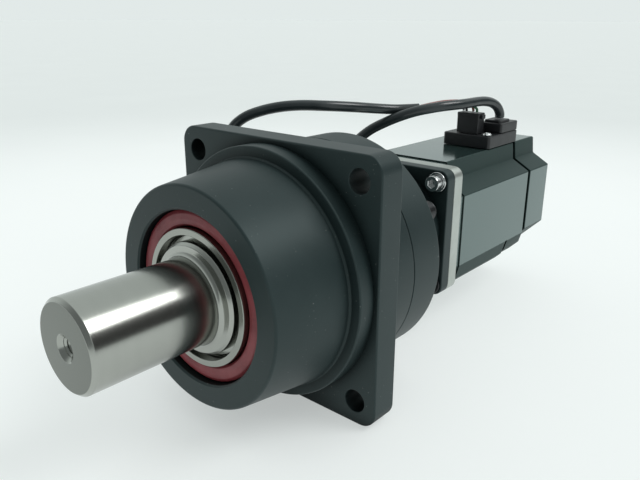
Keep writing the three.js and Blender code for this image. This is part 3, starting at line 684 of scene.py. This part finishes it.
# The body's front end is 0.6 mm smaller all round. Its lower corners have a slot and are cut back behind it.
outside = slab_on(Builder(), rectangle(-40, 40, -40, 40, 1), 93, 97, (0, 0), [lambda inset: BODY_SHAPE(0.6)])
lip = outside.mesh("lip")
cavity = turn_on(Builder(), [
    (0, 93), (25.6, 93), (25.6, 155), (13.3, 155), (13.3, 163.4), (9, 163.4), (9, 168), (0, 168),
], 96).mesh("cavity")
SLOT_SHAPE = [(31.5, -18.8), (27, -18.8), (25.2, -25.2), (21.8, -28.6), (21.8, -31.5), (31.5, -31.5)]
REAR_SHAPE = [(30.6, -22.4), (21.2, -31.8), (26, -36.6), (35.4, -27.2)]
corner_cuts = []
for side in (1, -1):
    for shape, start, end in ((SLOT_SHAPE, SLOT_START, SLOT_END), (REAR_SHAPE, SLOT_END - 0.2, 168)):
        corners = [(x * side, z) for x, z in shape][::-side]
        corner_cuts.append(slab_on(Builder(), outline(corners, 0), start, end, (0, 0)).mesh("corner"))
motor_body = finish_piece("motor_body", carved(body, lip, cavity, *corner_cuts), MOTOR_PAINT, "motor_paint",
                          "housing", ("motor_housing",))
shade_slanting_faces(motor_body, MOTOR_SHADED_FACET_PAINT)

slab("cover_gasket", lambda inset: COVER_SHAPE(2.0 + inset), BODY_END + 0.3, 168.7,
     BLACK_RUBBER, "black_rubber", ("cover_gasket",),
     bevels=(0.1, 0.1), holes=[lambda inset: COVER_SHAPE(4.0 - inset)])
shell = slab_on(Builder(), COVER_SHAPE, 169, 193, (0.4, 1.2)).mesh("shell")
hollow = slab_on(Builder(), lambda inset: COVER_SHAPE(2.6), 168, 190, (0, 0)).mesh("hollow")
screw_holes = [turn_on(Builder(), [(0, 189), (1.8, 189), (1.8, 194), (0, 194)], 24, x, up).mesh("screw_hole")
               for x, up in ((-15, 17), (15, -17))]
encoder_cover = finish_piece("encoder_cover", carved(shell, hollow, *screw_holes), MOTOR_PAINT, "motor_paint",
                             "housing", ("encoder_cover",))
shade_slanting_faces(encoder_cover, MOTOR_SHADED_FACET_PAINT)

# ---------------------------------------------------------------- connectors
base = slab_on(Builder(), rectangle(-7, 20, 137, 169.5, 1.6), 30.8, 37.1, (0.2, 0.6), axis="Z")
finish_piece("connector_base", base.mesh("connector_base"), BLACK_PLASTIC, "black_plastic", "housing",
             ("connector_base",))

PLUG_TOP = 47.9
power = slab_on(Builder(), rectangle(-0.5, 11.9, 139.1, 145.9, 0.6, 4), 37.4, 47, (0.2, 0.4), axis="Z")
slab_on(power, rectangle(-0.6, 12, 139, 146, 0.7, 4), 46, PLUG_TOP, (0.3, 0.4), axis="Z")
slab_on(power, rectangle(11.0, 13.2, 141, 144.5, 0.5, 4), 45.0, 47.2, (0.2, 0.4), axis="Z")
finish_piece("power_plug", power.mesh("power_plug"), BLACK_PLASTIC, "black_plastic", "housing",
             ("power_plug",))

encoder = slab_on(Builder(), rectangle(6.5, 19.8, 150, 169.3, 1.2, 4), 37.4, 42.2, (0.2, 0.6), axis="Z")
slab_on(encoder, rectangle(8.5, 17.8, 152, 163.6, 1.2, 4), 41.8, 43.5, (0.0, 0.5), axis="Z")
finish_piece("encoder_plug", encoder.mesh("encoder_plug"), BLACK_PLASTIC, "black_plastic", "housing",
             ("encoder_plug",))

for k, (x, station) in enumerate(((16.6, 140.6), (-3.4, 165.4))):
    screw = stand_up([
        (0, 37.4), (2.3, 37.4), (2.3, 38, 0.15), (1.7, 38.5, 0.3), (0.9, 38.5, 0.1), (0.8, 38), (0, 38),
    ], x, station)
    finish_piece(f"base_screw_{k + 1}", screw.mesh("screw"), BRIGHT_SCREW, "bright_screw", "housing",
                 (f"base_screw_{k + 1}",))

# ---------------------------------------------------------------- cables
CABLE_R = 2.5
LEAD_R = 0.65
LEAD_OFFSET = 1.16
POINTS_PER_SPAN = 6

ENCODER_ROUTE = [
    (13.3, 160.1, 44.2), (13.3, 159.8, 46.2), (13, 157, 49.7), (12.4, 152.4, 52.2), (11.7, 146.3, 53.6),
    (10.8, 139.4, 54), (10.1, 132.2, 53.9), (8, 122.9, 53.7), (4.8, 115, 53.4), (0.6, 108.7, 52.5),
    (-4.2, 103.4, 51.1), (-9.6, 99.2, 48.8), (-16.1, 96.4, 45.6), (-24.6, 94.2, 40.6), (-33, 93, 33),
    (-39.4, 93, 23), (-42.8, 93.6, 11), (-44.3, 94.3, -2), (-45, 95, -16), (-45.6, 96.6, -28),
    (-46.6, 100.4, -39), (-47.8, 108, -46.4), (-48.6, 118, -49.1), (-49, 130, -49.4), (-49, 141, -48.9),
    (-49, 148, -48.1), (-49, 152, -47.9),
]
POWER_ROUTE = [
    (-6.7, 111.2, 51.7), (-10.4, 107, 51.5), (-14.2, 101.8, 51.5), (-18, 93.6, 52.3), (-22.8, 78, 54.2),
    (-30, 64, 55.5), (-37, 57.5, 55.7), (-44, 51.4, 55), (-51, 45.4, 53.1), (-57.5, 40.6, 50),
    (-63, 37.8, 45), (-66.6, 36.4, 37), (-68, 36, 26), (-68.3, 36, 12), (-68.3, 36.3, -3), (-68.3, 37, -18),
    (-68.1, 39.4, -31), (-67.6, 45, -42), (-67, 54, -48), (-66.4, 65, -49.4), (-66, 76, -48.7),
    (-66, 83.6, -47.4), (-66, 88, -47.15),
]
BUNDLE = [(2.1, 136.8, 52.7), (0.7, 131.2, 53.2), (-1.4, 124, 53.2), (-3.6, 117, 52.6), (-6, 112.1, 51.8)]


def smooth_path(route):
    """A centripetal Catmull-Rom curve through the route's points, in metres."""
    points = [place(*p) for p in route]
    points = [2 * points[0] - points[1], *points, 2 * points[-1] - points[-2]]
    out = []
    for i in range(1, len(points) - 2):
        p = points[i - 1:i + 3]
        t = [0.0]
        for a, b in zip(p, p[1:]):
            t.append(t[-1] + math.sqrt((b - a).length))
        for k in range(POINTS_PER_SPAN):
            u = t[1] + (t[2] - t[1]) * k / POINTS_PER_SPAN
            a = [p[j].lerp(p[j + 1], (u - t[j]) / (t[j + 1] - t[j])) for j in range(3)]
            b = [a[j].lerp(a[j + 1], (u - t[j]) / (t[j + 2] - t[j])) for j in range(2)]
            out.append(b[0].lerp(b[1], (u - t[1]) / (t[2] - t[1])))
    out.append(points[-2])
    return out


def cable(name, route, radius, material):
    """A round piece along a route that stands for the CAD node of its name, with its path and length."""
    curve = bpy.data.curves.new(name, "CURVE")
    curve.dimensions = "3D"
    curve.bevel_depth = radius * MM
    curve.bevel_resolution = 5
    curve.use_fill_caps = True
    path = smooth_path(route)
    spline = curve.splines.new("POLY")
    spline.points.add(len(path) - 1)
    for point, where in zip(spline.points, path):
        point.co = (*where, 1.0)
    spline.use_smooth = True
    curve.materials.append(material)
    piece = bpy.data.objects.new(name, curve)
    bpy.context.scene.collection.objects.link(piece)
    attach(piece, "housing")
    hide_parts(name)
    length = sum((b - a).length for a, b in zip(path, path[1:]))
    return piece, path, length


def lying_connector(name, x, start, width, height, length, material, slot):
    """The connector on a cable's far end: body, ribs and the neck that the cable enters."""
    low = -AXIS_HEIGHT + 0.1
    side = width / 2
    body_shape = rectangle(x - side, x + side, low + 0.1, low + height - 0.1, 0.9, 4)
    rib_shape = rectangle(x - side + 1, x + side - 1, low, low + height, 0.3, 2)
    neck_profile = [
        (0, start + 0.35), (2.9, start + 0.35, 0.3), (3.3, start + 1.5, 0.6), (3.4, start + 6),
        (0, start + 6)]
    connector = slab_on(Builder(), body_shape, start + 4, start + length, (0.7, 0.5))
    turn_on(connector, neck_profile, 36, x, low + height / 2)
    for k in range(3):
        rib = start + length - 5 - 2.6 * k
        slab_on(connector, rib_shape, rib, rib + 1, (0.2, 0.2))
    return finish_piece(name, connector.mesh(name), material, slot, "housing", (name,))


power_connector = lying_connector("power_connector", -66, 88, 13, 9.5, 22, WHITE_PLASTIC, "white_plastic")
encoder_connector = lying_connector("encoder_connector", -49, 152, 14, 8, 20, BLACK_PLASTIC, "black_plastic")

for name, route, connector in (("encoder_cable", ENCODER_ROUTE, encoder_connector),
                               ("power_cable", POWER_ROUTE, power_connector)):
    piece, path, length = cable(name, route, CABLE_R, CABLE_SHEATH)


def beside_bundle(k, across, up):
    """A point of the leads' bundle, moved square to its run and up."""
    before, after = BUNDLE[max(k - 1, 0)], BUNDLE[min(k + 1, len(BUNDLE) - 1)]
    dx, ds = after[0] - before[0], after[1] - before[1]
    run = math.hypot(dx, ds)
    x, station, height = BUNDLE[k]
    return (x - across * ds / run, station + across * dx / run, height + up)


# Each lead's x and station at the plug, and its place in the bundle, across and up, in LEAD_OFFSETs.
LEADS = [
    ("lead_white", 0.8, 143.4, -1, 0), ("lead_black", 3.4, 141.8, 0, -1),
    ("lead_red", 6.4, 143.4, 0, 1), ("lead_green", 9.4, 141.8, 1.1, -0.2),
]
for name, x, station, side, lift in LEADS:
    across = side * LEAD_OFFSET
    up = lift * LEAD_OFFSET
    route = [
        (x, station, PLUG_TOP + 0.5), (x - 0.1, station - 0.4, 50),
        ((x + 4) / 2 + across / 2, 139.8, 51.8 + up * 0.9),
        *(beside_bundle(point, across, up) for point in range(len(BUNDLE)))]
    lead, path, length = cable(name, route, LEAD_R, LEAD_COLOURS[name])

# ---------------------------------------------------------------- finishes for the CAD pieces that stay
KEPT = {
    "front_bearing_outer_race": BEARING_STEEL, "front_bearing_inner_race": BEARING_STEEL,
    "front_bearing_rollers": GEAR_STEEL, "rear_bearing_outer_race": BEARING_STEEL,
    "rear_bearing_inner_race": BEARING_STEEL, "rear_bearing_rollers": GEAR_STEEL, "carrier_plate": GEAR_STEEL,
    "planet_gear_1": GEAR_STEEL, "planet_gear_2": GEAR_STEEL, "planet_gear_3": GEAR_STEEL,
    "sun_gear_hub": GEAR_STEEL, "clamp_screw": BLACK_SCREW, "input_bearing": BEARING_STEEL,
    "motor_shaft": GROUND_STEEL, "rotor_magnet": CORE_STEEL, "stator_core": CORE_STEEL,
    "stator_winding": COPPER, "motor_front_bearing": BEARING_STEEL, "motor_rear_bearing": BEARING_STEEL,
    "encoder_disc": ALUMINIUM,
    "encoder_board": BOARD_GREEN, "cover_screw_1": BLACK_SCREW, "cover_screw_2": BLACK_SCREW,
}
for node, material in KEPT.items():
    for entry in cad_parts[node].material_slots:
        entry.material = material

# ---------------------------------------------------------------- floor and light
floor_look = Nodes("pale_floor", 0.6, specular=0.2)
floor_point = floor_look.add("ShaderNodeNewGeometry").outputs["Position"]


def floor_patch(centre, inner, outer):
    """1 on the floor close to a point and 0 beyond the outer radius."""
    apart = floor_look.add("ShaderNodeVectorMath", operation="DISTANCE")
    floor_look.link(floor_point, apart.inputs[0])
    apart.inputs[1].default_value = centre
    reach = floor_look.add("ShaderNodeMapRange", interpolation_type="SMOOTHSTEP")
    reach.inputs["From Min"].default_value = outer
    reach.inputs["From Max"].default_value = inner
    floor_look.link(apart.outputs["Value"], reach.inputs["Value"])
    return reach.outputs["Result"]


floor_look.colour(floor_look.mix(floor_look.noise(9, 3, 0.5), (0.40, 0.415, 0.41), (0.43, 0.447, 0.44)))
# painted light: the floor glows as fill light, brightest in a pool around the unit and dimmer far off
glow = floor_look.mix(floor_patch((0, 0, 0), 0.3, 0.9), (0.36, 0.385, 0.38), (0.53, 0.555, 0.55))
# painted shadow: the glow is dimmer on the floor under the front of the unit
glow = floor_look.mix(floor_patch((0, -0.05, 0), 0.016, 0.06), glow, (0.42, 0.44, 0.435))
floor_look.link(glow, floor_look.shader.inputs["Emission Color"])
floor_look.shader.inputs["Emission Strength"].default_value = 1.0
floor_look.bump(floor_look.noise(240, 3, 0.5), 0.05)

FLOOR_HALF = 40.0
FLOOR_HEIGHT = -0.0002
FLOOR_CORNERS = [(-1, -1), (1, -1), (1, 1), (-1, 1)]
floor_points = [(x * FLOOR_HALF, y * FLOOR_HALF, FLOOR_HEIGHT) for x, y in FLOOR_CORNERS]
floor_mesh = bpy.data.meshes.new("floor")
floor_mesh.from_pydata(floor_points, [], [(0, 1, 2, 3)])
floor_mesh.materials.append(floor_look.material)
floor = bpy.data.objects.new("floor", floor_mesh)
bpy.context.scene.collection.objects.link(floor)


def studio_world(backdrop, all_round, *lobes):
    """World of one colour with soft round lobes of other colours, each (direction, inner, outer, colour).

    The lobes light the unit and show in its metal. The sky behind it is the plain backdrop.
    """
    world = bpy.data.worlds.new("studio")
    world.use_nodes = True
    tree = world.node_tree
    direction = tree.nodes.new("ShaderNodeTexCoord")
    colour = tree.nodes.new("ShaderNodeRGB")
    colour.outputs[0].default_value = (*all_round, 1)
    last = colour.outputs[0]
    for toward, inner, outer, lobe_colour in lobes:
        facing = tree.nodes.new("ShaderNodeVectorMath")
        facing.operation = "DOT_PRODUCT"
        facing.inputs[1].default_value = Vector(toward).normalized()
        tree.links.new(direction.outputs["Generated"], facing.inputs[0])
        inside = tree.nodes.new("ShaderNodeMapRange")
        inside.interpolation_type = "SMOOTHSTEP"
        inside.inputs["From Min"].default_value = math.cos(math.radians(outer))
        inside.inputs["From Max"].default_value = math.cos(math.radians(inner))
        tree.links.new(facing.outputs["Value"], inside.inputs["Value"])
        mixed = tree.nodes.new("ShaderNodeMix")
        mixed.data_type = "RGBA"
        tree.links.new(inside.outputs["Result"], mixed.inputs["Factor"])
        tree.links.new(last, mixed.inputs[6])
        mixed.inputs[7].default_value = (*lobe_colour, 1)
        last = mixed.outputs[2]
    seen = tree.nodes.new("ShaderNodeMix")
    seen.data_type = "RGBA"
    tree.links.new(tree.nodes.new("ShaderNodeLightPath").outputs["Is Camera Ray"], seen.inputs["Factor"])
    tree.links.new(last, seen.inputs[6])
    seen.inputs[7].default_value = (*backdrop, 1)
    tree.links.new(seen.outputs[2], tree.nodes["Background"].inputs["Color"])
    bpy.context.scene.world = world


studio_world((0.76, 0.82, 0.81), (0.76, 0.82, 0.81),
             ((0.1, -1.0, 0.15), 35, 80, (0.24, 0.26, 0.26)),
             ((0.80, 0.58, 0.14), 24, 40, (0.05, 0.05, 0.05)))
bpy.context.scene.view_settings.view_transform = "Standard"

KEY_LIGHT_PLACE = Vector((0.55, 0.35, 0.76))
KEY_LIGHT_POWER = 1.1
KEY_LIGHT_ANGLE = math.radians(26)
light_data = bpy.data.lights.new("key_light", "SUN")
light_data.energy = KEY_LIGHT_POWER
light_data.angle = KEY_LIGHT_ANGLE
light = bpy.data.objects.new("key_light", light_data)
bpy.context.scene.collection.objects.link(light)
light.location = KEY_LIGHT_PLACE
light.rotation_euler = (-KEY_LIGHT_PLACE).to_track_quat("-Z", "Y").to_euler()
